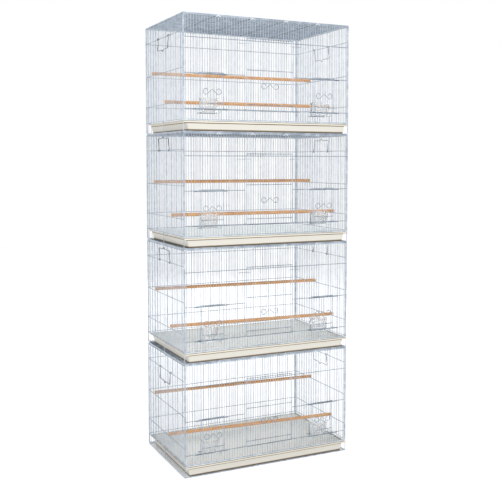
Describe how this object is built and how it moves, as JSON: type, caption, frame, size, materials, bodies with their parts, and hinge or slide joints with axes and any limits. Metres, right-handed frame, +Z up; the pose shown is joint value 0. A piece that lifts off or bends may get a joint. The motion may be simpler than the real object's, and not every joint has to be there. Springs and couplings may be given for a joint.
{
  "type": "canary breeding cage",
  "caption": "Stack of alike wire breeding cages for small birds, each with a pull-out tray and floor grille, sliding wire doors, clip-in perches and a carrying bail on each end.",
  "frame": {"origin": "on the floor, under the middle of the stack", "axes": "+Z up; -Y out of the fronts with the doors; +X to the right, seen from the front"},
  "size_m": [0.7566, 0.466, 1.8397],
  "materials": {
    "wire": "bright zinc-plated welded wire, pale blue-grey",
    "tray": "moulded, cream, satin",
    "perch": "plain turned dowel, stained orange",
    "cup": "clear moulded polystyrene, of the seed cups in the visual model"
  },
  "bodies": {
    "cage_stack": {"tier_1_base_frame": "wire", "tier_1_top_panel": "wire", "tier_1_front_panel": "wire", "tier_1_back_panel": "wire", "tier_1_left_panel": "wire", "tier_1_right_panel": "wire", "tier_1_upper_perch": "perch", "tier_1_lower_perch": "perch", "tier_2_base_frame": "wire", "tier_2_top_panel": "wire", "tier_2_front_panel": "wire", "tier_2_back_panel": "wire", "tier_2_left_panel": "wire", "tier_2_right_panel": "wire", "tier_2_upper_perch": "perch", "tier_2_lower_perch": "perch", "tier_3_base_frame": "wire", "tier_3_top_panel": "wire", "tier_3_front_panel": "wire", "tier_3_back_panel": "wire", "tier_3_left_panel": "wire", "tier_3_right_panel": "wire", "tier_3_upper_perch": "perch", "tier_3_lower_perch": "perch", "tier_4_base_frame": "wire", "tier_4_top_panel": "wire", "tier_4_front_panel": "wire", "tier_4_back_panel": "wire", "tier_4_left_panel": "wire", "tier_4_right_panel": "wire", "tier_4_upper_perch": "perch", "tier_4_lower_perch": "perch"},
    "tier_1_tray": {"tier_1_tray": "tray"},
    "tier_1_floor_grille": {"tier_1_floor_grille": "wire"},
    "tier_1_main_door": {"tier_1_main_door": "wire"},
    "tier_1_left_feeder_door": {"tier_1_left_feeder_door": "wire"},
    "tier_1_right_feeder_door": {"tier_1_right_feeder_door": "wire"},
    "tier_1_left_handle": {"tier_1_left_handle": "wire"},
    "tier_1_right_handle": {"tier_1_right_handle": "wire"},
    "tier_2_tray": {"tier_2_tray": "tray"},
    "tier_2_floor_grille": {"tier_2_floor_grille": "wire"},
    "tier_2_main_door": {"tier_2_main_door": "wire"},
    "tier_2_left_feeder_door": {"tier_2_left_feeder_door": "wire"},
    "tier_2_right_feeder_door": {"tier_2_right_feeder_door": "wire"},
    "tier_2_left_handle": {"tier_2_left_handle": "wire"},
    "tier_2_right_handle": {"tier_2_right_handle": "wire"},
    "tier_3_tray": {"tier_3_tray": "tray"},
    "tier_3_floor_grille": {"tier_3_floor_grille": "wire"},
    "tier_3_main_door": {"tier_3_main_door": "wire"},
    "tier_3_left_feeder_door": {"tier_3_left_feeder_door": "wire"},
    "tier_3_right_feeder_door": {"tier_3_right_feeder_door": "wire"},
    "tier_3_left_handle": {"tier_3_left_handle": "wire"},
    "tier_3_right_handle": {"tier_3_right_handle": "wire"},
    "tier_4_tray": {"tier_4_tray": "tray"},
    "tier_4_floor_grille": {"tier_4_floor_grille": "wire"},
    "tier_4_main_door": {"tier_4_main_door": "wire"},
    "tier_4_left_feeder_door": {"tier_4_left_feeder_door": "wire"},
    "tier_4_right_feeder_door": {"tier_4_right_feeder_door": "wire"},
    "tier_4_left_handle": {"tier_4_left_handle": "wire"},
    "tier_4_right_handle": {"tier_4_right_handle": "wire"}
  },
  "joints": [
    {"name": "tier_1_tray_slide", "type": "slide", "parent": "cage_stack", "child": "tier_1_tray", "axis": [0, 1, 0], "range_m": [-0.43, 0]},
    {"name": "tier_1_grille_slide", "type": "slide", "parent": "cage_stack", "child": "tier_1_floor_grille", "axis": [0, 1, 0], "range_m": [-0.43, 0]},
    {"name": "tier_1_main_door_lift", "type": "slide", "parent": "cage_stack", "child": "tier_1_main_door", "axis": [0, 0, 1], "range_m": [0, 0.165]},
    {"name": "tier_1_left_feeder_lift", "type": "slide", "parent": "cage_stack", "child": "tier_1_left_feeder_door", "axis": [0, 0, 1], "range_m": [0, 0.12]},
    {"name": "tier_1_right_feeder_lift", "type": "slide", "parent": "cage_stack", "child": "tier_1_right_feeder_door", "axis": [0, 0, 1], "range_m": [0, 0.12]},
    {"name": "tier_1_left_handle_swing", "type": "hinge", "parent": "cage_stack", "child": "tier_1_left_handle", "pos_m": [-0.37325, 0, 0.39], "axis": [0, 1, 0], "range_deg": [0, 172]},
    {"name": "tier_1_right_handle_swing", "type": "hinge", "parent": "cage_stack", "child": "tier_1_right_handle", "pos_m": [0.37325, 0, 0.39], "axis": [0, -1, 0], "range_deg": [0, 172]},
    {"name": "tier_2_tray_slide", "type": "slide", "parent": "cage_stack", "child": "tier_2_tray", "axis": [0, 1, 0], "range_m": [-0.43, 0]},
    {"name": "tier_2_grille_slide", "type": "slide", "parent": "cage_stack", "child": "tier_2_floor_grille", "axis": [0, 1, 0], "range_m": [-0.43, 0]},
    {"name": "tier_2_main_door_lift", "type": "slide", "parent": "cage_stack", "child": "tier_2_main_door", "axis": [0, 0, 1], "range_m": [0, 0.165]},
    {"name": "tier_2_left_feeder_lift", "type": "slide", "parent": "cage_stack", "child": "tier_2_left_feeder_door", "axis": [0, 0, 1], "range_m": [0, 0.12]},
    {"name": "tier_2_right_feeder_lift", "type": "slide", "parent": "cage_stack", "child": "tier_2_right_feeder_door", "axis": [0, 0, 1], "range_m": [0, 0.12]},
    {"name": "tier_2_left_handle_swing", "type": "hinge", "parent": "cage_stack", "child": "tier_2_left_handle", "pos_m": [-0.37325, 0, 0.85], "axis": [0, -1, 0], "range_deg": [0, 172]},
    {"name": "tier_2_right_handle_swing", "type": "hinge", "parent": "cage_stack", "child": "tier_2_right_handle", "pos_m": [0.37325, 0, 0.85], "axis": [0, 1, 0], "range_deg": [0, 172]},
    {"name": "tier_3_tray_slide", "type": "slide", "parent": "cage_stack", "child": "tier_3_tray", "axis": [0, 1, 0], "range_m": [-0.43, 0]},
    {"name": "tier_3_grille_slide", "type": "slide", "parent": "cage_stack", "child": "tier_3_floor_grille", "axis": [0, 1, 0], "range_m": [-0.43, 0]},
    {"name": "tier_3_main_door_lift", "type": "slide", "parent": "cage_stack", "child": "tier_3_main_door", "axis": [0, 0, 1], "range_m": [0, 0.165]},
    {"name": "tier_3_left_feeder_lift", "type": "slide", "parent": "cage_stack", "child": "tier_3_left_feeder_door", "axis": [0, 0, 1], "range_m": [0, 0.12]},
    {"name": "tier_3_right_feeder_lift", "type": "slide", "parent": "cage_stack", "child": "tier_3_right_feeder_door", "axis": [0, 0, 1], "range_m": [0, 0.12]},
    {"name": "tier_3_left_handle_swing", "type": "hinge", "parent": "cage_stack", "child": "tier_3_left_handle", "pos_m": [-0.37325, 0, 1.31], "axis": [0, -1, 0], "range_deg": [0, 172]},
    {"name": "tier_3_right_handle_swing", "type": "hinge", "parent": "cage_stack", "child": "tier_3_right_handle", "pos_m": [0.37325, 0, 1.31], "axis": [0, 1, 0], "range_deg": [0, 172]},
    {"name": "tier_4_tray_slide", "type": "slide", "parent": "cage_stack", "child": "tier_4_tray", "axis": [0, 1, 0], "range_m": [-0.43, 0]},
    {"name": "tier_4_grille_slide", "type": "slide", "parent": "cage_stack", "child": "tier_4_floor_grille", "axis": [0, 1, 0], "range_m": [-0.43, 0]},
    {"name": "tier_4_main_door_lift", "type": "slide", "parent": "cage_stack", "child": "tier_4_main_door", "axis": [0, 0, 1], "range_m": [0, 0.165]},
    {"name": "tier_4_left_feeder_lift", "type": "slide", "parent": "cage_stack", "child": "tier_4_left_feeder_door", "axis": [0, 0, 1], "range_m": [0, 0.12]},
    {"name": "tier_4_right_feeder_lift", "type": "slide", "parent": "cage_stack", "child": "tier_4_right_feeder_door", "axis": [0, 0, 1], "range_m": [0, 0.12]},
    {"name": "tier_4_left_handle_swing", "type": "hinge", "parent": "cage_stack", "child": "tier_4_left_handle", "pos_m": [-0.37325, 0, 1.77], "axis": [0, 1, 0], "range_deg": [0, 172]},
    {"name": "tier_4_right_handle_swing", "type": "hinge", "parent": "cage_stack", "child": "tier_4_right_handle", "pos_m": [0.37325, 0, 1.77], "axis": [0, -1, 0], "range_deg": [0, 172]}
  ]
}
